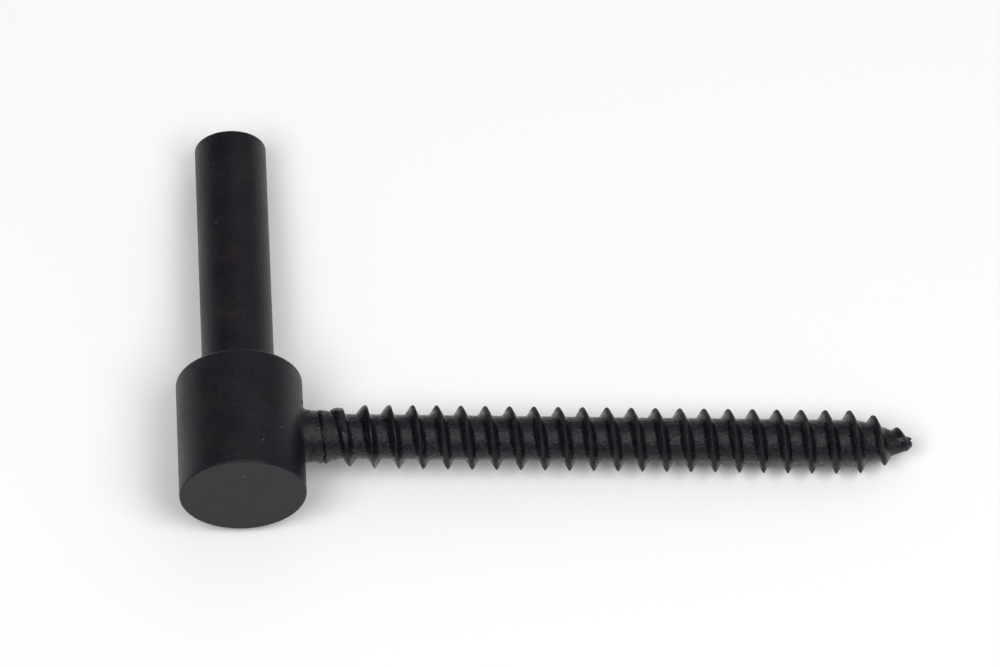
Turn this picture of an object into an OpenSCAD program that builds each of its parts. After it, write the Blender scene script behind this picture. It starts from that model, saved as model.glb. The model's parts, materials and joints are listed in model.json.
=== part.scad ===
// Gate hinge pin: an upright pin turned on the end of a stout barrel, with a
// lag screw let into the barrel's side and welded there.
// The screw goes into a gate post, and the gate's eye drops over the pin.
//
// The pieces are drawn square: the pin's centre line is the Y axis, the
// shoulder that the gate's eye sits on lies in the plane y = 0, and the lag
// screw runs along +X. lean_over() gives the screw its slight lean, and
// lay_down() tips the whole part as it rests on a level floor.

/* [Pin] */
// Diameter of the upright pin
pin_d = 12.7; // [8:0.1:20]
// Length of the pin above the shoulder
pin_l = 49.4; // [30:0.1:90]
// Radius of the broken edge round the pin's end
pin_edge = 0.3; // [0.1:0.1:1]

/* [Barrel] */
// Diameter of the barrel
barrel_d = 22.2; // [21:0.1:32]
// Length of the barrel below the shoulder
barrel_l = 23.5; // [20:0.1:40]
// Radius of the edge round the shoulder
shoulder_edge = 0.8; // [0.2:0.1:1]
// Radius of the edge round the foot
foot_edge = 0.5; // [0.2:0.1:1.5]

/* [Lag screw] */
// How far above the middle of the barrel the screw enters its side
screw_rise = 0.4; // [0:0.1:1]
// Angle that the screw leans away from the pin
screw_lean = 1.6; // [0:0.1:2]
// Length of the screw from the barrel's side to its broken point
screw_l = 107; // [60:0.1:160]
// Diameter of the plain shank
shank_d = 9.1; // [8:0.1:10.5]
// Plain length between the barrel's side and the first trace of thread
plain_l = 2.7; // [2.2:0.1:12]
// Distance over which the crest rises to its full height
runout_l = 11.2; // [6:0.1:16]
// Distance over which the root sinks to its full depth
sink_l = 4.5; // [3:0.1:8]
// Diameter over the thread's crests
thread_d = 11.2; // [10.6:0.1:13]
// Diameter at the thread's root
root_d = 7.8; // [6:0.1:8.5]
// Distance from one crest to the next
pitch = 4.27; // [3.6:0.01:6]
// Angle of each flank to a plane across the screw
flank_angle = 30; // [24:1:32]
// Width of the flat along the crest
crest_w = 0.2; // [0.1:0.05:0.6]
// How far the curved foot of each flank spreads along the root
foot_spread = 0.4; // [0.2:0.05:0.5]

/* [Point] */
// Length over which the screw narrows to its point
point_l = 10.2; // [7:0.1:16]
// Width left at the broken point
point_d = 2.2; // [1:0.1:3]
// How far the broken point sits off the screw's centre line
point_shift = 0.4; // [0:0.05:0.6]
// Depth of the break in the point's end
break_depth = 0.5; // [0.1:0.1:1]

/* [Joint] */
// Depth of the hole for the screw, from the barrel's side
hole_depth = 7; // [4:0.1:9]
// Gap round the screw in its hole
hole_gap = 0.05; // [0.02:0.01:0.1]
// How far the weld spreads over the barrel from the shank
weld_toe = 0.9; // [0.5:0.1:1.4]
// How far the weld climbs along the shank
weld_climb = 1.3; // [0.6:0.1:1.8]
// Depth of the groove melted beside the weld, on the pin's side
undercut = 0.45; // [0.1:0.05:0.5]
// Width of that groove
undercut_w = 1; // [0.6:0.1:1.4]

/* [Smoothness] */
// Flat sides to one turn of the thread
turn_sides = 24; // [16:4:36]

/* [Hidden] */
$fn = 96;

coat = [0.15, 0.145, 0.16];
coat_screw = [0.13, 0.13, 0.14];
coat_weld = [0.17, 0.16, 0.17];

pin_r = pin_d / 2;
barrel_r = barrel_d / 2;
shank_r = shank_d / 2;
thread_r = thread_d / 2;
root_r = root_d / 2;
screw_drop = barrel_l / 2 - screw_rise;
screw_end = barrel_r + screw_l;
screw_in = barrel_r - hole_depth;

// Thread: one helical ridge. Column i of the mesh stands at its own angle
// round the screw and holds one pitch of the profile, centred on the crest.
thread_trace = barrel_r + plain_l;
crest_lead = 0.65;
first_crest = thread_trace + crest_lead;
first_angle = 170;
foot_share = 0.2;
flank_w = crest_w / 2 + (1 - foot_share) * (thread_r - root_r) * tan(flank_angle);
foot_w = flank_w + foot_spread;
// The ridge stops where its foot would meet the break
tip_gap = 0.15;
thread_stop = screw_end - break_depth - foot_w - 2 * tip_gap;
last_foot = thread_stop + foot_w + tip_gap;
columns = floor((thread_stop - first_crest) / pitch * turn_sides);
point_start = screw_end - point_l;
end_fade = pitch / 3;

function angle_at(i) = first_angle + 360 * i / turn_sides;
function crest_at(i) = first_crest + pitch * i / turn_sides;
function clamp01(t) = min(1, max(0, t));
function smooth01(t) = let (c = clamp01(t)) c * c * (3 - 2 * c);

trace_share = 0.15;
core_taper = 1.3;
ridge_taper = 2.4;
drift_taper = 1.5;

// How far the crest has risen, and the root sunk, at distance x from the pin's axis
function risen(x) = smooth01((x - thread_trace) / runout_l + trace_share);
function sunk(x) = smooth01((x - thread_trace) / sink_l);
// Part of the way along the point, 0 where it starts and 1 at the break
function along_point(x) = clamp01((x - point_start) / point_l);
function core_r(x) =
    let (core = shank_r + (root_r - shank_r) * sunk(x))
    core + (point_d / 2 - core) * pow(along_point(x), core_taper);
function ridge_h(x) =
    (thread_r - root_r) * (1 - pow(along_point(x), ridge_taper))
    * clamp01((thread_stop - x) / end_fade);
// Crest radius: it rises from the shank's own radius as the thread forms
function crest_r(x) =
    along_point(x) > 0 ? core_r(x) + ridge_h(x)
    : shank_r + (thread_r - shank_r) * risen(x);

// One pitch of the profile as [offset from the crest, share of the ridge]
profile = [
    [-foot_w, 0],
    [-flank_w, foot_share],
    [-crest_w / 2, 1],
    [crest_w / 2, 1],
    [flank_w, foot_share],
    [foot_w, 0],
    [pitch - foot_w, 0]
];
per_pitch = len(profile) - 1;

// The point's centre drifts towards one side as it nears the break
function drift(x) = point_shift * pow(along_point(x), drift_taper);
drift_angle = 214;

function place(x, r, a) = [
    x,
    r * cos(a) + drift(x) * cos(drift_angle),
    r * sin(a) + drift(x) * sin(drift_angle)
];

function column_point(i, k) =
    let (
        xc = crest_at(i),
        x = min(xc + profile[k][0], last_foot),
        low = core_r(x),
        r = low + (max(crest_r(xc), low) - low) * profile[k][1]
    )
    place(x, r, angle_at(i));

// The broken end: two lobes with a notch between them, and a hollow middle
break_angle = 120;
floor_share = 1.4;
function end_point(a) =
    place(screw_end - break_depth * (0.5 + 0.5 * cos(2 * (a - break_angle))), point_d / 2, a);

// Points, in the order that the faces below count them
lead_in = 0.3;
plain_end = first_crest - foot_w - lead_in;
ring_in = [for (j = [0:turn_sides - 1]) place(screw_in, shank_r, angle_at(j))];
ring_out = [for (j = [0:turn_sides - 1]) place(plain_end, shank_r, angle_at(j))];
body = [for (i = [0:columns]) for (k = [0:per_pitch - 1]) column_point(i, k)];
rim = [for (j = [1:turn_sides]) column_point(columns + j - turn_sides, per_pitch)];
ring_end = [for (j = [0:turn_sides - 1]) end_point(angle_at(columns + j))];
break_floor = [place(screw_end - floor_share * break_depth, 0, 0)];

at_in = 0;
at_out = turn_sides;
at_body = 2 * turn_sides;
at_rim = at_body + (columns + 1) * per_pitch;
at_end = at_rim + turn_sides;
at_floor = at_end + turn_sides;

// Number of the point k of column i. The last point of a column is the first
// one of the column a full turn on.
function v(i, k) =
    k == per_pitch ? v(i + turn_sides, 0)
    : i > columns ? at_rim + i - columns - 1
    : at_body + i * per_pitch + k;
function around(j) = j % turn_sides;

faces_in = [[for (j = [0:turn_sides - 1]) at_in + j]];
faces_shank = [
    for (j = [0:turn_sides - 1])
        [at_in + around(j + 1), at_in + j, at_out + j, at_out + around(j + 1)]
];
faces_start = concat(
    [
        for (j = [0:turn_sides - 2])
            each [[at_out + j, v(j, 0), v(j + 1, 0)], [at_out + j, v(j + 1, 0), at_out + j + 1]]
    ],
    [[at_out + turn_sides - 1, v(turn_sides - 1, 0), at_out]],
    [[at_out, v(turn_sides - 1, 0), v(0, 0)]],
    [for (k = [0:per_pitch - 1]) [v(0, k), v(turn_sides - 1, 0), v(0, k + 1)]]
);
faces_thread = [
    for (i = [0:columns - 1])
        for (k = [0:per_pitch - 1])
            each [[v(i, k), v(i, k + 1), v(i + 1, k + 1)], [v(i, k), v(i + 1, k + 1), v(i + 1, k)]]
];
faces_point = concat(
    [
        for (j = [1:turn_sides - 1])
            let (i = columns + j)
            each [
                [v(i, 0), at_end + j, at_end + around(j + 1)],
                [v(i, 0), at_end + around(j + 1), v(i + 1, 0)]
            ]
    ],
    [for (k = [0:per_pitch - 1]) [v(columns, k), v(columns, k + 1), v(columns + 1, 0)]],
    [[v(columns, per_pitch), at_end, v(columns + 1, 0)]],
    [[at_end, at_end + 1, v(columns + 1, 0)]]
);
faces_break = [for (j = [0:turn_sides - 1]) [at_end + j, at_floor, at_end + around(j + 1)]];

// Rest: the rims of the pin's end and of the shoulder and the last full crest
// touch the floor. pitch_down dips the pin, and roll_down dips the screw.
rest_run = pin_l - pin_edge + shoulder_edge;
rest_step = (barrel_r - shoulder_edge) - (pin_r - pin_edge);
pitch_down = atan2(rest_step, rest_run)
    + asin((shoulder_edge - pin_edge) / norm([rest_run, rest_step]));
floor_z = shoulder_edge * sin(pitch_down) - (barrel_r - shoulder_edge) * cos(pitch_down)
    - shoulder_edge;
under_share = (270 + pitch_down - first_angle) / 360;
full_turns = floor((point_start - first_crest) / pitch - under_share);
rest_x = first_crest + pitch * (full_turns + under_share);
axis_drop = screw_drop - barrel_r * tan(screw_lean);
screw_slope = asin((axis_drop * sin(pitch_down) - floor_z) / norm([rest_x, thread_r]))
    - atan2(thread_r, rest_x);
roll_down = asin(
    (sin(screw_slope) + sin(screw_lean) * sin(pitch_down)) / (cos(screw_lean) * cos(pitch_down))
);

module lay_down() {
    rotate([-pitch_down, 0, 0]) rotate([0, roll_down, 0]) children();
}

// Half outline of a round bar along +Y with both ends' edges rounded
module bar_outline(r, from, to, edge_from, edge_to) {
    translate([0, from + edge_from]) square([r, to - from - edge_from - edge_to]);
    translate([0, from]) square([r - edge_from, to - from]);
    translate([0, to - edge_to]) square([r - edge_to, edge_to]);
    translate([r - edge_from, from + edge_from]) circle(edge_from);
    translate([r - edge_to, to - edge_to]) circle(edge_to);
}

// Pin and barrel, turned from one bar. The pin's lower edge is inside the barrel.
module turned_bar() {
    rotate([-90, 0, 0]) rotate_extrude() {
        bar_outline(barrel_r, -barrel_l, 0, foot_edge, shoulder_edge);
        bar_outline(pin_r, -barrel_l / 2, pin_l, pin_edge, pin_edge);
    }
}

// Leans what is drawn along +X away from the pin, about the barrel's side
module lean_over() {
    translate([barrel_r, -screw_drop, 0]) rotate([0, 0, -screw_lean])
        translate([-barrel_r, 0, 0]) children();
}

// Groove melted into the barrel along the weld's toe, on the pin's side
module undercut_groove() {
    groove_r = (pow(undercut_w / 2, 2) + pow(undercut, 2)) / (2 * undercut);
    translate([barrel_r, -screw_drop, 0]) rotate([0, 90, 0]) rotate_extrude(angle = 180)
        translate([shank_r + weld_toe + undercut_w / 2, groove_r - undercut]) circle(groove_r);
}

module pintle() {
    color(coat) lay_down() difference() {
        turned_bar();
        lean_over() translate([screw_in, 0, 0]) rotate([0, 90, 0])
            cylinder(r = shank_r + hole_gap, h = hole_depth + barrel_r);
        undercut_groove();
    }
}

module lag_screw() {
    color(coat_screw) lay_down() lean_over() polyhedron(
        points = concat(ring_in, ring_out, body, rim, ring_end, break_floor),
        faces = concat(faces_in, faces_shank, faces_start, faces_thread, faces_point, faces_break)
    );
}

// Weld: a ring whose section is carried round the shank on the barrel's curve.
// Its hollow face sweeps from the shank down to the toe, and its flat facets
// are held a hair clear of the round shank and barrel that they lie against.
weld_sides = 32;
weld_steps = 5;
weld_hair = 0.03;
weld_bore = shank_r / cos(180 / weld_sides) + weld_hair;
weld_toe_r = shank_r + weld_toe;

// Where the barrel's side lies along the leaning screw, at radius r and angle a
function side_x(r, a) =
    (sqrt(barrel_r * barrel_r - pow(r * sin(a), 2)) - r * cos(a) * sin(screw_lean)
    - barrel_r * (1 - cos(screw_lean))) / cos(screw_lean) + weld_hair;
function weld_section(a) =
    let (
        corner = [side_x(weld_bore, a), weld_bore],
        top = corner + [weld_climb, 0],
        toe = [side_x(weld_toe_r, a), weld_toe_r]
    )
    concat(
        [corner],
        [
            for (m = [0:weld_steps])
                let (t = m / weld_steps)
                (1 - t) * (1 - t) * top + 2 * t * (1 - t) * corner + t * t * toe
        ]
    );
weld_points = [
    for (j = [0:weld_sides - 1])
        let (a = 360 * j / weld_sides)
        for (p = weld_section(a)) [p[0], p[1] * cos(a), p[1] * sin(a)]
];
weld_n = weld_steps + 2;
weld_faces = [
    for (j = [0:weld_sides - 1])
        for (k = [0:weld_n - 1])
            let (
                j2 = (j + 1) % weld_sides,
                k2 = (k + 1) % weld_n,
                a = j * weld_n + k,
                b = j * weld_n + k2,
                c = j2 * weld_n + k2,
                d = j2 * weld_n + k
            )
            each [[a, c, b], [a, d, c]]
];

module weld_bead() {
    color(coat_weld) lay_down() lean_over() polyhedron(points = weld_points, faces = weld_faces);
}

pintle();
lag_screw();
weld_bead();
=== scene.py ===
import json
import math

import bpy
from mathutils import Matrix, Vector, noise


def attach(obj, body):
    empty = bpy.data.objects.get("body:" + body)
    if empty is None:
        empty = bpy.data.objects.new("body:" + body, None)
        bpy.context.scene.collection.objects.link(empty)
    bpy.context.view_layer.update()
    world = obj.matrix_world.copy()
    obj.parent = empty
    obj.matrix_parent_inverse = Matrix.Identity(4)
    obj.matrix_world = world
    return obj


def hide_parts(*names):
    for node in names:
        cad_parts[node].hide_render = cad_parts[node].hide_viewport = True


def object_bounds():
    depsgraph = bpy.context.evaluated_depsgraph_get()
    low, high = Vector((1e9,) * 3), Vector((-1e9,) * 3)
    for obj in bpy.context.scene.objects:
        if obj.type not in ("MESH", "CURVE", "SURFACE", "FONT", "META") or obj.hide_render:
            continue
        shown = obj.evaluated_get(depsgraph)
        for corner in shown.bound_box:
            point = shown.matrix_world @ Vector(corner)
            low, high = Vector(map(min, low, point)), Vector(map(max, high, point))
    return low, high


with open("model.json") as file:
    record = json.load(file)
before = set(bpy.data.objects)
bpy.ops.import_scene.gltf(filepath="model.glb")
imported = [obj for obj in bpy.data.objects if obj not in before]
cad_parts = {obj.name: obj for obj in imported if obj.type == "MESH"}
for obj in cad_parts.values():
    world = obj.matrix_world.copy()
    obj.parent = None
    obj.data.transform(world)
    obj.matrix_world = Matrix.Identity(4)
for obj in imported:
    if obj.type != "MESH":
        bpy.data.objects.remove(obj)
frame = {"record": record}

cad_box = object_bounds()
bpy.ops.object.select_all(action="DESELECT")

# The pintle: upright pin and barrel, turned from one steel bar and coated satin
# black. The barrel's side is drilled for the lag screw, and the welding melted a
# shallow groove into it, on the pin's side of the screw.

MM = 0.001
PIN_R = 6.35 * MM
PIN_L = 49.4 * MM
PIN_EDGE = 0.3 * MM
BARREL_R = 11.1 * MM
BARREL_L = 23.5 * MM
SHOULDER_EDGE = 0.8 * MM
FOOT_EDGE = 0.3 * MM
CORNER_FILLET = 0.25 * MM
EDGE_STEPS = 8
HOLDING_RING = 0.06 * MM
PINTLE_SIDES = 192
SIDE_RINGS = [y * MM for y in (-3.2, -5.6, -17.4, -20.5, 12, 25, 38)]
SMOOTH_UP_TO = math.radians(38)
SCREW_DROP = 11.35 * MM
SHANK_R = 4.55 * MM
HOLE_GAP = 0.05 * MM
HOLE_DEPTH = 7 * MM
HOLE_SIDES = 96
WELD_TOE = 0.9 * MM
GROOVE_DEPTH = 0.45 * MM
GROOVE_WIDTH = 1.0 * MM
GROOVE_START = 0.02 * MM
GROOVE_SIDES = 128
GROOVE_ROUND = 32

# Places closer together than this count as the same
SAME = 0.001 * MM

# Each piece is shaped square, with the pin along +Y and the screw along +X. The
# screw then leans a little away from the pin, about the middle of its weld, and
# everything is laid down the way it rests: pin and screw both dip to the floor,
# as the directions of the part's mounts say.
AXES = {mount["name"]: mount["axis"] for mount in frame["record"]["mounts"]}
SCREW_LEAN = math.radians(1.6)
PIN_DIP = -math.asin(AXES["hinge_pin"][2])
SCREW_DIP = math.acos(AXES["lag_thread"][0] / math.cos(SCREW_LEAN))
LAID = Matrix.Rotation(-PIN_DIP, 4, "X") @ Matrix.Rotation(SCREW_DIP, 4, "Y")
LEANT = (
    Matrix.Translation((BARREL_R, -SCREW_DROP, 0))
    @ Matrix.Rotation(-SCREW_LEAN, 4, "Z")
    @ Matrix.Translation((-BARREL_R, 0, 0))
)


def pick(piece, kind, test):
    """Goes to edit mode with every vertex, edge or face picked whose corners all pass the test."""
    bpy.ops.object.mode_set(mode="EDIT")
    bpy.ops.mesh.select_mode(type=kind)
    bpy.ops.mesh.select_all(action="DESELECT")
    bpy.ops.object.mode_set(mode="OBJECT")
    mesh = piece.data
    passed = [test(v.co) for v in mesh.vertices]
    if kind == "VERT":
        for v in mesh.vertices:
            v.select = passed[v.index]
    else:
        for part in mesh.edges if kind == "EDGE" else mesh.polygons:
            part.select = all(passed[i] for i in part.vertices)
    bpy.ops.object.mode_set(mode="EDIT")


def on_ring(y, r):
    """A test for vertices on a ring round the pin's centre line."""
    return lambda co: abs(co.y - y) < SAME and abs(math.hypot(co.x, co.z) - r) < 10 * SAME


def split_all(place, normal, **closing):
    """Cuts the whole piece through at a plane, in edit mode."""
    bpy.ops.mesh.select_all(action="SELECT")
    bpy.ops.mesh.bisect(plane_co=place, plane_no=normal, **closing)


def fix_place(piece, place=None):
    """Puts the piece at its place and writes that place into its mesh."""
    bpy.ops.object.mode_set(mode="OBJECT")
    if place is not None:
        piece.matrix_world = place @ piece.matrix_world
    bpy.ops.object.select_all(action="DESELECT")
    piece.select_set(True)
    bpy.context.view_layer.objects.active = piece
    bpy.ops.object.transform_apply(location=True, rotation=True, scale=True)


def cut_away(piece, cutter):
    """Cuts the cutter's shape out of the piece and removes the cutter."""
    bpy.context.view_layer.objects.active = piece
    cut = piece.modifiers.new("cut", "BOOLEAN")
    cut.operation = "DIFFERENCE"
    cut.solver = "EXACT"
    cut.object = cutter
    bpy.ops.object.modifier_apply(modifier=cut.name)
    bpy.data.objects.remove(cutter)


def finish_piece(piece, name, material, node):
    """Names the piece, gives it its finish and sets it on the part in place of its plain node."""
    piece.name = name
    piece.data.name = name
    bpy.ops.object.shade_smooth_by_angle(angle=SMOOTH_UP_TO)
    piece.data.materials.clear()
    piece.data.materials.append(material)
    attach(piece, "root")
    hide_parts(node)


bpy.ops.mesh.primitive_cylinder_add(
    vertices=PINTLE_SIDES,
    radius=BARREL_R,
    depth=BARREL_L,
    location=(0, -BARREL_L / 2, 0),
    rotation=(math.radians(-90), 0, 0),
)
pintle = bpy.context.object
fix_place(pintle)

# The pin is drawn out of the barrel's end
pick(pintle, "FACE", lambda co: abs(co.y) < SAME)
bpy.ops.mesh.inset(thickness=BARREL_R - PIN_R)
bpy.ops.mesh.extrude_region_move(TRANSFORM_OT_translate={"value": (0, PIN_L, 0)})

# Turned edges: the pin's end, the corner the pin stands in, the shoulder and the foot
for y, r, edge in (
    (PIN_L, PIN_R, PIN_EDGE),
    (0, PIN_R, CORNER_FILLET),
    (0, BARREL_R, SHOULDER_EDGE),
    (-BARREL_L, BARREL_R, FOOT_EDGE),
):
    pick(pintle, "EDGE", on_ring(y, r))
    bpy.ops.mesh.bevel(offset=edge, segments=EDGE_STEPS, profile=0.5, affect="EDGES")

# A narrow ring inside each flat end keeps the flat's shading flat
for y in (PIN_L, -BARREL_L):
    pick(pintle, "FACE", lambda co: abs(co.y - y) < SAME)
    bpy.ops.mesh.inset(thickness=HOLDING_RING)

# Rings across the long sides, so that the hole and the groove leave most of them whole
for y in SIDE_RINGS:
    split_all((0, y, 0), (0, 1, 0))
bpy.ops.object.mode_set(mode="OBJECT")

# Drilled hole for the screw
bpy.ops.mesh.primitive_cylinder_add(
    vertices=HOLE_SIDES,
    radius=SHANK_R + HOLE_GAP,
    depth=2 * HOLE_DEPTH,
    location=(BARREL_R, 0, 0),
    rotation=(0, math.radians(90), 0),
)
drill = bpy.context.object
fix_place(drill, LEANT)
cut_away(pintle, drill)

# Melted groove: half a ring, on the pin's side of the weld
GROOVE_R = ((GROOVE_WIDTH / 2) ** 2 + GROOVE_DEPTH**2) / (2 * GROOVE_DEPTH)
bpy.ops.mesh.primitive_torus_add(
    major_segments=GROOVE_SIDES,
    minor_segments=GROOVE_ROUND,
    major_radius=SHANK_R + WELD_TOE + GROOVE_WIDTH / 2,
    minor_radius=GROOVE_R,
    location=(BARREL_R + GROOVE_R - GROOVE_DEPTH, -SCREW_DROP, 0),
    rotation=(0, math.radians(90), 0),
)
melt = bpy.context.object
fix_place(melt)
bpy.ops.object.mode_set(mode="EDIT")
split_all((0, GROOVE_START - SCREW_DROP, 0), (0, 1, 0), clear_inner=True, use_fill=True)
bpy.ops.object.mode_set(mode="OBJECT")
cut_away(pintle, melt)


def add_node(tree, kind, place, settings=None, **values):
    """Adds a node to a tree at a place, with its settings and its sockets' values."""
    made = tree.nodes.new(kind)
    made.location = place
    for setting, value in (settings or {}).items():
        setattr(made, setting, value)
    for socket, value in values.items():
        made.inputs[socket.replace("_", " ")].default_value = value
    return made


def add_math(tree, operation, place, second=None):
    """Adds an arithmetic node. Its second number can be a fixed one, and the others are wired."""
    made = add_node(tree, "ShaderNodeMath", place, {"operation": operation})
    if second is not None:
        made.inputs[1].default_value = second
    return made


def add_range(tree, place, from_low, from_high, to_low, to_high):
    """Adds a node that maps one span of values to another, and clamps what lies outside it."""
    span = {"From_Min": from_low, "From_Max": from_high, "To_Min": to_low, "To_Max": to_high}
    return add_node(tree, "ShaderNodeMapRange", place, **span)


def wire(tree, *pairs):
    """Joins sockets, each pair being (node, output name or number, node, input name or number)."""
    for source, output, target, entry in pairs:
        tree.links.new(source.outputs[output], target.inputs[entry])


def new_group(name, inputs, outputs):
    """A shader node group with named inputs and outputs, and its two end nodes."""
    group = bpy.data.node_groups.new(name, "ShaderNodeTree")
    for label, kind in inputs:
        group.interface.new_socket(name=label, in_out="INPUT", socket_type="NodeSocket" + kind)
    for label, kind in outputs:
        group.interface.new_socket(name=label, in_out="OUTPUT", socket_type="NodeSocket" + kind)
    entry = add_node(group, "NodeGroupInput", (-900, 0))
    result = add_node(group, "NodeGroupOutput", (900, 0))
    return group, entry, result


# Satin coat: a fine grain, cloudy patches where the coat is thicker or thinner,
# and a few specks of dust. It gives a colour, a roughness and a height.
COAT_SPECULAR = 0.25
HUE_SPREAD = 1.3
HUE_FLOOR = 0.35
PATCH_RELIEF = 0.8
SPECK_SCALE = 600
DUST_GREY = (0.10, 0.10, 0.09, 1)
satin_coat, entry, result = new_group(
    "satin_coat",
    (
        ("Vector", "Vector"),
        ("Coat", "Color"),
        ("Thin Coat", "Color"),
        ("Grain Scale", "Float"),
        ("Patch Scale", "Float"),
        ("Roughness", "Float"),
        ("Dust", "Float"),
    ),
    (("Color", "Color"), ("Roughness", "Float"), ("Height", "Float")),
)
grain = add_node(satin_coat, "ShaderNodeTexNoise", (-600, 200), Detail=3, Roughness=0.65)
grain_share = add_range(satin_coat, (-350, 200), 0.3, 0.7, -0.5, 0.6)
patches = add_node(satin_coat, "ShaderNodeTexNoise", (-600, -50), Detail=4, Roughness=0.6)
patch_share = add_range(satin_coat, (-350, -50), 0.35, 0.72, 0, 0.4)
thinness = add_math(satin_coat, "ADD", (-120, 80))
thinness.use_clamp = True
coat_mix = add_node(satin_coat, "ShaderNodeMix", (120, 200), {"data_type": "RGBA"})
wire(
    satin_coat,
    (entry, "Vector", grain, "Vector"),
    (entry, "Grain Scale", grain, "Scale"),
    (grain, "Fac", grain_share, "Value"),
    (entry, "Vector", patches, "Vector"),
    (entry, "Patch Scale", patches, "Scale"),
    (patches, "Fac", patch_share, "Value"),
    (grain_share, "Result", thinness, 0),
    (patch_share, "Result", thinness, 1),
    (thinness, 0, coat_mix, "Factor"),
    (entry, "Coat", coat_mix, "A"),
    (entry, "Thin Coat", coat_mix, "B"),
)

# The coat also drifts a little in hue from patch to patch
hue_drift = add_node(satin_coat, "ShaderNodeVectorMath", (120, 420), {"operation": "MULTIPLY_ADD"})
hue_drift.inputs[1].default_value = (HUE_SPREAD,) * 3
hue_drift.inputs[2].default_value = (HUE_FLOOR,) * 3
tinting = {"data_type": "RGBA", "blend_type": "MULTIPLY"}
drifted = add_node(satin_coat, "ShaderNodeMix", (320, 300), tinting, Factor=1)
wire(
    satin_coat,
    (patches, "Color", hue_drift, 0),
    (coat_mix, "Result", drifted, "A"),
    (hue_drift, 0, drifted, "B"),
)

# Each cell could hold a speck of dust, but only few do
specks = add_node(satin_coat, "ShaderNodeTexVoronoi", (-600, -350), Scale=SPECK_SCALE)
near_speck = add_range(satin_coat, (-350, -320), 0.06, 0.12, 1, 0)
speck_draw = add_node(satin_coat, "ShaderNodeSeparateColor", (-350, -580))
few = add_math(satin_coat, "LESS_THAN", (-120, -520))
speck_mask = add_math(satin_coat, "MULTIPLY", (120, -350))
dusty = add_node(satin_coat, "ShaderNodeMix", (500, 200), {"data_type": "RGBA"}, B=DUST_GREY)
wire(
    satin_coat,
    (entry, "Vector", specks, "Vector"),
    (specks, "Distance", near_speck, "Value"),
    (specks, "Color", speck_draw, "Color"),
    (speck_draw, "Red", few, 0),
    (entry, "Dust", few, 1),
    (near_speck, "Result", speck_mask, 0),
    (few, 0, speck_mask, 1),
    (drifted, "Result", dusty, "A"),
    (speck_mask, 0, dusty, "Factor"),
    (dusty, "Result", result, "Color"),
)

# Roughness and height follow the same patches and grain
rough_spread = add_range(satin_coat, (120, -120), 0.3, 0.7, -0.05, 0.06)
roughness = add_math(satin_coat, "ADD", (500, -120))
height = add_math(satin_coat, "MULTIPLY_ADD", (500, -400), second=PATCH_RELIEF)
wire(
    satin_coat,
    (patches, "Fac", rough_spread, "Value"),
    (entry, "Roughness", roughness, 0),
    (rough_spread, "Result", roughness, 1),
    (roughness, 0, result, "Roughness"),
    (patches, "Fac", height, 0),
    (grain, "Fac", height, 2),
    (height, 0, result, "Height"),
)


def coated(name, bump, lean=0, centre=(0, 0, 0), **coat_values):
    """Black coated steel: the satin coat with its values, read along the piece's square axes."""
    material = bpy.data.materials.new(name)
    material.use_nodes = True
    tree = material.node_tree
    shader = tree.nodes["Principled BSDF"]
    shader.inputs["Specular IOR Level"].default_value = COAT_SPECULAR
    place = add_node(tree, "ShaderNodeTexCoord", (-1100, 0))
    square = add_node(tree, "ShaderNodeMapping", (-900, 0), {"name": "square_axes"}, Location=centre)
    square.inputs["Rotation"].default_value = (PIN_DIP, -SCREW_DIP, lean)
    group = {"node_tree": satin_coat, "name": "satin_coat"}
    coat = add_node(tree, "ShaderNodeGroup", (-600, 0), group, **coat_values)
    relief = add_node(
        tree, "ShaderNodeBump", (-300, -250), {"name": "relief"}, Strength=1, Distance=bump
    )
    wire(
        tree,
        (place, "Object", square, "Vector"),
        (square, "Vector", coat, "Vector"),
        (coat, "Color", shader, "Base Color"),
        (coat, "Roughness", shader, "Roughness"),
        (coat, "Height", relief, "Height"),
        (relief, "Normal", shader, "Normal"),
    )
    return material


pintle_coat = coated(
    "black_coat",
    bump=0.05 * MM,
    Coat=(0.0036, 0.0029, 0.0062, 1),
    Thin_Coat=(0.0165, 0.0148, 0.0200, 1),
    Grain_Scale=3600,
    Patch_Scale=160,
    Roughness=0.43,
    Dust=0.08,
)
fix_place(pintle, LAID)
finish_piece(pintle, "turned_pintle", pintle_coat, "pintle")

# The lag screw: coarse right-hand, with a rolled thread that rises out of a plain
# shank and runs on to a gimlet point, whose tip is broken off. Its first turns
# are rolled short of full height, with torn crests that hook over.

PITCH = 4.27 * MM
THREAD_R = 5.6 * MM
ROOT_R = 3.9 * MM
SCREW_IN = BARREL_R - HOLE_DEPTH
SCREW_END = 118.1 * MM
FIRST_TRACE = 13.8 * MM
FIRST_CREST = 14.45 * MM
FIRST_ANGLE = 170
FIRST_RISE = 0.15
RUNOUT_L = 11.2 * MM
SINK_L = 4.5 * MM
POINT_L = 10.2 * MM
POINT_R = 0.85 * MM
POINT_TAPER = 1.3
CREST_TAPER = 2.4
POINT_SHIFT = 0.15 * MM
POINT_SIDE = math.radians(214)
SHIFT_TAPER = 1.5
TIP_CUT = 0.5 * MM
TURN_STEPS = 72
TURNS = 29
TURNS_BEFORE = 4

# Half of one ridge, from the middle of its crest to the middle of the root:
# distance along the screw in millimetres, and share of the ridge's height. The
# straight flank has two points more than it needs, for the tears and the hooks.
HALF_RIDGE = (
    (0.00, 1.000),
    (0.06, 0.995),
    (0.12, 0.965),
    (0.18, 0.915),
    (0.45, 0.655),
    (0.72, 0.395),
    (0.94, 0.185),
    (1.04, 0.110),
    (1.18, 0.045),
    (1.38, 0.010),
    (1.70, 0.000),
    (2.135, 0.000),
)
ridge = [(-x, share) for x, share in reversed(HALF_RIDGE[1:])] + list(HALF_RIDGE)


def smooth(t):
    """0 below 0, 1 above 1, and an even rise between."""
    t = min(1, max(0, t))
    return t * t * (3 - 2 * t)


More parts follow.
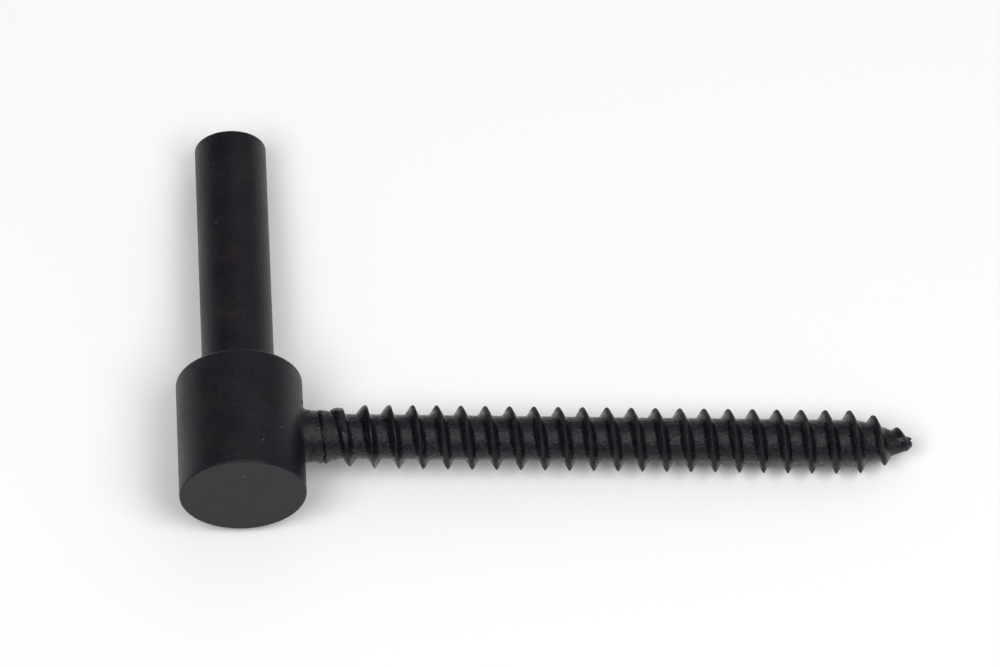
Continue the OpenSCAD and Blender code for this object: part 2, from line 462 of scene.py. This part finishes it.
def fading(x, until, fade):
    """1 up to a place along the screw, and from there down to 0 over a length."""
    return 1 - smooth((x - until) / fade)


def facing(angle, side):
    """1 on one side of the screw, falling to -1 on the other side of it, both given in degrees."""
    return math.cos(math.radians(angle - side))


def along_point(x):
    """Share of the way from the start of the point to its break."""
    return min(1, max(0, (x - SCREW_END + POINT_L) / POINT_L))


def core_radius(x):
    """Radius of the root: the shank's, then sinking to full depth, then narrowing to the point."""
    core = SHANK_R + (ROOT_R - SHANK_R) * smooth((x - FIRST_TRACE) / SINK_L)
    return core + (POINT_R - core) * along_point(x) ** POINT_TAPER


def crest_radius(x):
    """Radius of the crest: it rises out of the shank, and sinks again along the point."""
    if along_point(x) > 0:
        return core_radius(x) + (THREAD_R - ROOT_R) * (1 - along_point(x) ** CREST_TAPER)
    return SHANK_R + (THREAD_R - SHANK_R) * smooth((x - FIRST_TRACE) / RUNOUT_L + FIRST_RISE)


def nearest_crest(x, angle):
    """Where the crest nearest to a place runs, along the screw, at the place's angle round it."""
    part_turn = (angle - FIRST_ANGLE) / 360
    return FIRST_CREST + PITCH * (round((x - FIRST_CREST) / PITCH - part_turn) + part_turn)


# One pitch of the profile, wound up into a screw. Each turn ends where the next
# one starts: they lie edge to edge, and are not joined into one surface.
bpy.ops.mesh.primitive_grid_add(x_subdivisions=len(ridge) - 1, y_subdivisions=1, size=PITCH)
screw = bpy.context.object
pick(screw, "VERT", lambda co: co.y < 0)
bpy.ops.mesh.delete(type="VERT")
bpy.ops.object.mode_set(mode="OBJECT")
crest_at_top = FIRST_CREST + PITCH * ((360 - FIRST_ANGLE) / 360 - TURNS_BEFORE)
for corner, (x, share) in zip(sorted(screw.data.vertices, key=lambda v: v.co.x), ridge):
    corner.co = (crest_at_top + x * MM, ROOT_R + (THREAD_R - ROOT_R) * share, 0)
wind = screw.modifiers.new("wind", "SCREW")
wind.axis = "X"
wind.screw_offset = PITCH
wind.iterations = TURNS
wind.steps = wind.render_steps = TURN_STEPS
bpy.ops.object.modifier_apply(modifier=wind.name)

# The wound screw is then shaped by place. The first crests were rolled short of
# full height: they wander, are torn open along their middle, and hook over.
TORN_UNTIL = 16 * MM
TORN_FADE = 4.5 * MM
TEAR = 0.16
TEAR_SPREAD = 0.40 * MM
TEAR_BACK = 0.30 * MM
TEAR_SLOPE = 0.60 * MM
TEAR_SCALE = Vector((2600, 900, 900))
DIMPLE = 0.12 * MM
DIMPLE_HALF = 0.3 * MM
HOOKED_UNTIL = 24 * MM
HOOK_FADE = 12 * MM
HOOK = 0.3 * MM
HOOK_SIDE = 33
HOOK_SHARPNESS = 12
HOOK_UNEVEN = 0.6
HOOK_DARK = 0.45
WOBBLE = 0.012
WOBBLE_SCALE = 330
WOBBLE_ROW = 0.3
FULL_SHARE = 0.6

# Two burrs stand on the low side of the screw, beside its first turns
BURRS = ((14.96 * MM, 0.26 * MM), (16.7 * MM, 0.18 * MM))
BURR_HALF = 0.35 * MM
BURR_SIDE = 213
BURR_SHARPNESS = 6

# How high each place lies on its ridge is kept, for the wear in the screw's coat
heights = screw.data.attributes.new("ridge_height", "FLOAT", "POINT")
for corner in screw.data.vertices:
    start_x, y, z = corner.co
    x = start_x
    angle = math.degrees(math.atan2(z, y))
    share = (math.hypot(y, z) - ROOT_R) / (THREAD_R - ROOT_R)
    crest_x = nearest_crest(x, angle)
    side = x - crest_x
    r = core_radius(x)
    rise = max(crest_radius(crest_x) - r, 0)
    if rise > 0:
        torn = fading(crest_x, TORN_UNTIL, TORN_FADE)
        hooked = fading(crest_x, HOOKED_UNTIL, HOOK_FADE)
        wobble = noise.noise(Vector((crest_x * WOBBLE_SCALE, WOBBLE_ROW, 0)))
        tear = noise.noise(Vector((crest_x, y, z)) * TEAR_SCALE)
        full = min(1, rise / (FULL_SHARE * (THREAD_R - ROOT_R)))
        heights.data[corner.index].value = share * full * (1 - HOOK_DARK * hooked)
        r += rise * share * (1 + WOBBLE * wobble + TEAR * torn * tear * share)
        r -= torn * share * DIMPLE * max(0, 1 - abs(side) / DIMPLE_HALF)
        if abs(side) > SAME / 10:
            x += share**2 * math.copysign(TEAR_SPREAD * torn, side)
        upper_side = 0.5 + 0.5 * facing(angle, HOOK_SIDE)
        x += share**HOOK_SHARPNESS * HOOK * hooked * upper_side * (1 + HOOK_UNEVEN * wobble)
        x -= share * TEAR_BACK * torn
        if side < 0:
            x -= 4 * share * (1 - share) * TEAR_SLOPE * torn
    low_side = max(0, facing(angle, BURR_SIDE)) ** BURR_SHARPNESS
    for burr_x, burr_rise in BURRS:
        r += burr_rise * low_side * max(0, 1 - abs(start_x - burr_x) / BURR_HALF)
    shift = POINT_SHIFT * along_point(x) ** SHIFT_TAPER
    corner.co = (
        x,
        r * math.cos(math.radians(angle)) + shift * math.cos(POINT_SIDE),
        r * math.sin(math.radians(angle)) + shift * math.sin(POINT_SIDE),
    )

# Both ends are cut square and filled. Beside the cuts a few small faces lie double.
bpy.ops.object.mode_set(mode="EDIT")
bpy.ops.mesh.select_mode(type="FACE")
split_all((SCREW_IN, 0, 0), (1, 0, 0), clear_inner=True, use_fill=True)
split_all((SCREW_END - TIP_CUT, 0, 0), (1, 0, 0), clear_outer=True, use_fill=True)
bpy.ops.mesh.select_all(action="SELECT")
bpy.ops.mesh.normals_make_consistent(inside=False)

# Where the thread's rolling began, a fine ring is pressed into the shank, a
# little askew: the plane RING_TILT . place = RING_X in the screw's own axes
RING_X = 13.83 * MM
RING_TILT = (1, 0.158, -0.004)
RING_HALF = 0.26 * MM
RING_DEPTH = 0.24 * MM
for aside in (-RING_HALF, 0, RING_HALF):
    split_all((RING_X + aside, 0, 0), RING_TILT)
bpy.ops.object.mode_set(mode="OBJECT")
for corner in screw.data.vertices:
    off = abs(Vector(RING_TILT).dot(corner.co) - RING_X)
    if off < RING_HALF:
        pressed = 1 - RING_DEPTH * (1 - off / RING_HALF) / SHANK_R
        corner.co = (corner.co.x, corner.co.y * pressed, corner.co.z * pressed)

# The torn tip: its end is drawn together in rings, then torn ragged, with a
# notch across it that leaves a small nub above and a wider lobe below
FLAT_END = 0.99
TIP_RINGS = (0.85, 0.8, 0.75, 0.65, 0.5)
TIP_UP = (0.838, 0.546)
TORN_TIP = 1.2 * MM
TORN_TIP_FADE = 0.7 * MM
TIP_REACH = 0.08 * MM
TIP_TEARS = 0.3 * MM
TIP_TEARS_SCALE = 2600
TIP_PITS = 0.22 * MM
TIP_PITS_SCALE = 6000
TIP_CLEAR = 0.02 * MM
NOTCH_DEPTH = 0.34 * MM
NOTCH_AT = 0.42 * MM
NOTCH_HALF = 0.16 * MM
SWELL = 0.2
SWELL_SCALE = 2400
LOBE_DRAWN_IN = 0.3
TIP_MIDDLE = (
    SCREW_END - TIP_CUT,
    POINT_SHIFT * math.cos(POINT_SIDE),
    POINT_SHIFT * math.sin(POINT_SIDE),
)


def unevenness(y, z, scale, pattern):
    """Noise across the screw, from about -1 to 1; each pattern number gives another one."""
    return noise.noise(Vector((y * scale, z * scale, pattern)))


bpy.ops.object.mode_set(mode="EDIT")
bpy.ops.mesh.select_all(action="DESELECT")
bpy.ops.object.mode_set(mode="OBJECT")
for face in screw.data.polygons:
    face.select = face.normal.x > FLAT_END and face.center.x > SCREW_END - 2 * TIP_CUT
bpy.ops.object.mode_set(mode="EDIT")
for narrower in TIP_RINGS:
    bpy.ops.mesh.extrude_region_move()
    bpy.ops.transform.resize(value=(1, narrower, narrower), center_override=TIP_MIDDLE)
bpy.ops.mesh.poke()
bpy.ops.object.mode_set(mode="OBJECT")
for corner in screw.data.vertices:
    x, y, z = corner.co
    if x > SCREW_END - TORN_TIP:
        reach = min(1, (x - SCREW_END + TORN_TIP) / TORN_TIP_FADE)
        up = y * TIP_UP[0] + z * TIP_UP[1]
        notch = math.exp(-(((up - NOTCH_AT) / NOTCH_HALF) ** 2))
        tear = unevenness(y, z, TIP_TEARS_SCALE, 7)
        pits = unevenness(y, z, TIP_PITS_SCALE, 2)
        x += reach * (TIP_REACH - NOTCH_DEPTH * notch + TIP_TEARS * tear + TIP_PITS * pits)
        swell = 1 + reach * SWELL * noise.noise(Vector((x, y, z)) * SWELL_SCALE)
        swell -= LOBE_DRAWN_IN * reach * max(0, -up) / POINT_R
        corner.co = (min(x, SCREW_END - TIP_CLEAR), y * swell, z * swell)

# Where the screw's own axes start, seen from the pin's
SCREW_SEAT = Vector((BARREL_R, -SCREW_DROP, 0))
FROM_LEANT = Vector((BARREL_R, 0, 0)) - Matrix.Rotation(SCREW_LEAN, 3, "Z") @ SCREW_SEAT
screw_coat = coated(
    "black_coat_screw",
    bump=0.22 * MM,
    Coat=(0.0040, 0.0040, 0.0066, 1),
    Thin_Coat=(0.0165, 0.0180, 0.0220, 1),
    Grain_Scale=1900,
    Patch_Scale=700,
    Roughness=0.2,
    Dust=0,
    lean=SCREW_LEAN,
    centre=FROM_LEANT,
)
tree = screw_coat.node_tree
shader, square, coat, relief = (
    tree.nodes[name] for name in ("Principled BSDF", "square_axes", "satin_coat", "relief")
)

# The crests are duller than the rest, and worn greyer in broken stretches
CREST_DULLER = 0.4
WORN_GREY = (0.020, 0.019, 0.0215, 1)
ridge_height = add_node(tree, "ShaderNodeAttribute", (-900, -500), {"attribute_name": "ridge_height"})
crest_share = add_range(tree, (-650, -500), 0.45, 0.8, 0, 1)
wear = add_node(tree, "ShaderNodeTexNoise", (-900, -750), Scale=260, Detail=4, Roughness=0.7)
wear_share = add_range(tree, (-650, -750), 0.48, 0.62, 0, 1)
worn = add_math(tree, "MULTIPLY", (-420, -600))
worn_colour = add_node(tree, "ShaderNodeMix", (-200, 300), {"data_type": "RGBA"}, B=WORN_GREY)
duller = add_math(tree, "MULTIPLY_ADD", (-200, 60), second=CREST_DULLER)
duller.use_clamp = True
wire(
    tree,
    (ridge_height, "Fac", crest_share, "Value"),
    (square, "Vector", wear, "Vector"),
    (wear, "Fac", wear_share, "Value"),
    (crest_share, "Result", worn, 0),
    (wear_share, "Result", worn, 1),
    (worn, 0, worn_colour, "Factor"),
    (coat, "Color", worn_colour, "A"),
    (crest_share, "Result", duller, 0),
    (duller, 0, shader, "Roughness"),
)

# Small spots of the coat are smoother than the rest, and glint
spots = add_node(tree, "ShaderNodeTexNoise", (-900, 650), Scale=1500, Detail=2, Roughness=0.6)
spot_rough = add_range(tree, (-650, 650), 0.4, 0.6, -0.1, 0.14)
spotted = add_math(tree, "ADD", (-420, 650))
wire(
    tree,
    (square, "Vector", spots, "Vector"),
    (spots, "Fac", spot_rough, "Value"),
    (spot_rough, "Result", spotted, 0),
    (coat, "Roughness", spotted, 1),
    (spotted, 0, duller, 2),
)

# The coat's relief is calmer on the thread's flanks than in its root. It is taken
# about its middle height, so that the change between the two makes no slope.
flank_calm = add_range(tree, (-650, -250), 0.05, 0.35, 1, 0.25)
even_relief = add_math(tree, "SUBTRACT", (-400, -400), second=(1 + PATCH_RELIEF) / 2)
calm_relief = add_math(tree, "MULTIPLY", (-200, -400))
wire(
    tree,
    (ridge_height, "Fac", flank_calm, "Value"),
    (coat, "Height", even_relief, 0),
    (even_relief, 0, calm_relief, 0),
    (flank_calm, "Result", calm_relief, 1),
)

# The ring pressed into the shank is deeper than the rest, and its groove is painted darker: painted
# shade that stands in for the shade in the groove
RING_PAINTED_SHADE = (0.002, 0.002, 0.003, 1)
RING_RELIEF = 0.3
ring_place = add_node(tree, "ShaderNodeVectorMath", (-650, -1000), {"operation": "DOT_PRODUCT"})
ring_place.inputs[1].default_value = RING_TILT
ring_off = add_math(tree, "SUBTRACT", (-480, -1000), second=RING_X)
ring_far = add_math(tree, "ABSOLUTE", (-320, -1000))
ring_line = add_range(tree, (-150, -1000), 0.08 * MM, 0.42 * MM, 0.6, 0)
ring_shade_paint = add_node(tree, "ShaderNodeMix", (0, 300), {"data_type": "RGBA"}, B=RING_PAINTED_SHADE)
ring_relief = add_math(tree, "MULTIPLY_ADD", (50, -800), second=-RING_RELIEF)
wire(
    tree,
    (square, "Vector", ring_place, 0),
    (ring_place, "Value", ring_off, 0),
    (ring_off, 0, ring_far, 0),
    (ring_far, 0, ring_line, "Value"),
    (ring_line, "Result", ring_shade_paint, "Factor"),
    (worn_colour, "Result", ring_shade_paint, "A"),
    (ring_shade_paint, "Result", shader, "Base Color"),
    (ring_line, "Result", ring_relief, 0),
    (calm_relief, 0, ring_relief, 2),
    (ring_relief, 0, relief, "Height"),
)
fix_place(screw, LAID @ LEANT)
finish_piece(screw, "rolled_lag_screw", screw_coat, "lag_screw")

# The weld: smooth and hollow, all round the screw where it leaves the barrel. It
# was run in one pass, so its toe wanders a little over the barrel.

WELD_CLIMB = 1.3 * MM
WELD_GAP = 0.02 * MM
WELD_BORE = SHANK_R + WELD_GAP
WELD_SIDES = 96
WELD_STEPS = 9
WELD_BACK = 0.25 * MM
TOE_SUNK = 0.04 * MM
TOE_WANDER = 0.18
TOE_WANDER_SCALE = 500
CLIMB_WANDER = 0.15
CLIMB_WANDER_SCALE = 300
BACK_RING = 1 * MM


def barrel_side(y, z):
    """Distance along the leaning screw at which the barrel's side lies, at a place across it."""
    reach = math.sqrt(BARREL_R**2 - z**2) - y * math.sin(SCREW_LEAN)
    return (reach - BARREL_R * (1 - math.cos(SCREW_LEAN))) / math.cos(SCREW_LEAN)


def ring_radius(step):
    """Radius of one ring of the weld's hollow face."""
    return WELD_BORE + WELD_TOE * (step / WELD_STEPS) ** 2


def draw_ring(growth):
    """Draws the picked ring of edges out into the next one, so much wider or narrower."""
    bpy.ops.mesh.extrude_edges_move()
    bpy.ops.transform.resize(value=(1, growth, growth), center_override=(BARREL_R, 0, 0))


# Rings from the shank outwards, and a last one back at the shank, inside the hole's mouth
bpy.ops.mesh.primitive_circle_add(
    vertices=WELD_SIDES,
    radius=WELD_BORE,
    location=(BARREL_R, 0, 0),
    rotation=(0, math.radians(90), 0),
)
weld = bpy.context.object
fix_place(weld)
bpy.ops.object.mode_set(mode="EDIT")
bpy.ops.mesh.select_mode(type="EDGE")
bpy.ops.mesh.select_all(action="SELECT")
for step in range(1, WELD_STEPS + 1):
    draw_ring(ring_radius(step) / ring_radius(step - 1))
draw_ring(WELD_BORE / ring_radius(WELD_STEPS))
bpy.ops.transform.translate(value=(-BACK_RING, 0, 0))
bpy.ops.object.mode_set(mode="OBJECT")

# Each corner then goes to its place on the hollow face or on the barrel
for corner in weld.data.vertices:
    x, y, z = corner.co
    r = math.hypot(y, z)
    seat = barrel_side(WELD_BORE * y / r, WELD_BORE * z / r)
    if x < BARREL_R - BACK_RING / 2:
        corner.co.x = seat - WELD_BACK
        continue
    t = math.sqrt(max(0, r - WELD_BORE) / WELD_TOE)
    toe_r = WELD_BORE + WELD_TOE * (1 + TOE_WANDER * unevenness(y, z, TOE_WANDER_SCALE, 1))
    grown = (WELD_BORE + (toe_r - WELD_BORE) * t * t) / r
    y, z, r = y * grown, z * grown, r * grown
    toe = barrel_side(toe_r * y / r, toe_r * z / r) - TOE_SUNK
    climb = WELD_CLIMB * (1 + CLIMB_WANDER * unevenness(y, z, CLIMB_WANDER_SCALE, 5))
    corner.co = ((1 - t) ** 2 * (seat + climb) + 2 * t * (1 - t) * seat + t * t * toe, y, z)
pick(weld, "EDGE", lambda co: math.hypot(co.y, co.z) < WELD_BORE + SAME)
bpy.ops.mesh.bridge_edge_loops()
bpy.ops.mesh.select_all(action="SELECT")
bpy.ops.mesh.normals_make_consistent(inside=False)
weld_coat = coated(
    "black_coat_weld",
    bump=0.1 * MM,
    Coat=(0.0050, 0.0047, 0.0080, 1),
    Thin_Coat=(0.0120, 0.0115, 0.0155, 1),
    Grain_Scale=2600,
    Patch_Scale=400,
    Roughness=0.4,
    Dust=0.03,
    lean=SCREW_LEAN,
    centre=FROM_LEANT,
)
fix_place(weld, LAID @ LEANT)
finish_piece(weld, "hollow_weld", weld_coat, "weld_bead")

# Floor, light and camera: a plain white table under two soft lamps, left and right
# above the front, with a weak broad one at the back, so that the dark coat shows
# broad soft bands.

TABLE_SIZE = 8
TABLE_MIDDLE = (0.05, 0.5, cad_box[0].z)
LAMP_AIM = Vector((0.04, 0, 0))
LAMP_DISTANCE = 1.3
ROOM_LIGHT = 0.18

bpy.ops.mesh.primitive_plane_add(size=TABLE_SIZE, location=TABLE_MIDDLE)
floor = bpy.context.object
floor.name = "floor"
table_paint = bpy.data.materials.new("white_table")
table_paint.use_nodes = True
paint = table_paint.node_tree.nodes["Principled BSDF"]
paint.inputs["Base Color"].default_value = (0.925, 0.93, 0.925, 1)
paint.inputs["Roughness"].default_value = 0.9
paint.inputs["Specular IOR Level"].default_value = 0.1
floor.data.materials.append(table_paint)


def soft_lamp(name, towards, size, power):
    """A square soft lamp that faces the part from a direction."""
    data = bpy.data.lights.new(name, "AREA")
    data.shape = "SQUARE"
    data.size = size
    data.energy = power
    lamp = bpy.data.objects.new(name, data)
    bpy.context.scene.collection.objects.link(lamp)
    away = Vector(towards).normalized()
    lamp.location = LAMP_AIM + away * LAMP_DISTANCE
    lamp.rotation_euler = away.to_track_quat("Z", "Y").to_euler()


soft_lamp("left_top", (-0.38, -0.35, 0.86), size=0.7, power=8.35)
soft_lamp("right_top", (0.38, -0.35, 0.86), size=0.7, power=8.35)
soft_lamp("back_fill", (0.35, 0.45, 0.75), size=1.8, power=3.7)

world = bpy.data.worlds.new("pale_room")
world.use_nodes = True
world.node_tree.nodes["Background"].inputs["Color"].default_value = (1, 1, 1, 1)
world.node_tree.nodes["Background"].inputs["Strength"].default_value = ROOM_LIGHT
bpy.context.scene.world = world
bpy.context.scene.view_settings.view_transform = "Standard"

# The camera's place, turn and lens were fitted to the edges seen in the photograph
camera_data = bpy.data.cameras.new("camera")
camera_data.lens = 271.185
camera_data.sensor_width = 36
camera_data.clip_end = 20
camera = bpy.data.objects.new("camera", camera_data)
bpy.context.scene.collection.objects.link(camera)
camera.location = (0.017262, -0.609189, 1.174556)
camera.rotation_euler = [math.radians(turn) for turn in (27.717, 0.1102, -2.9049)]
bpy.context.scene.camera = camera
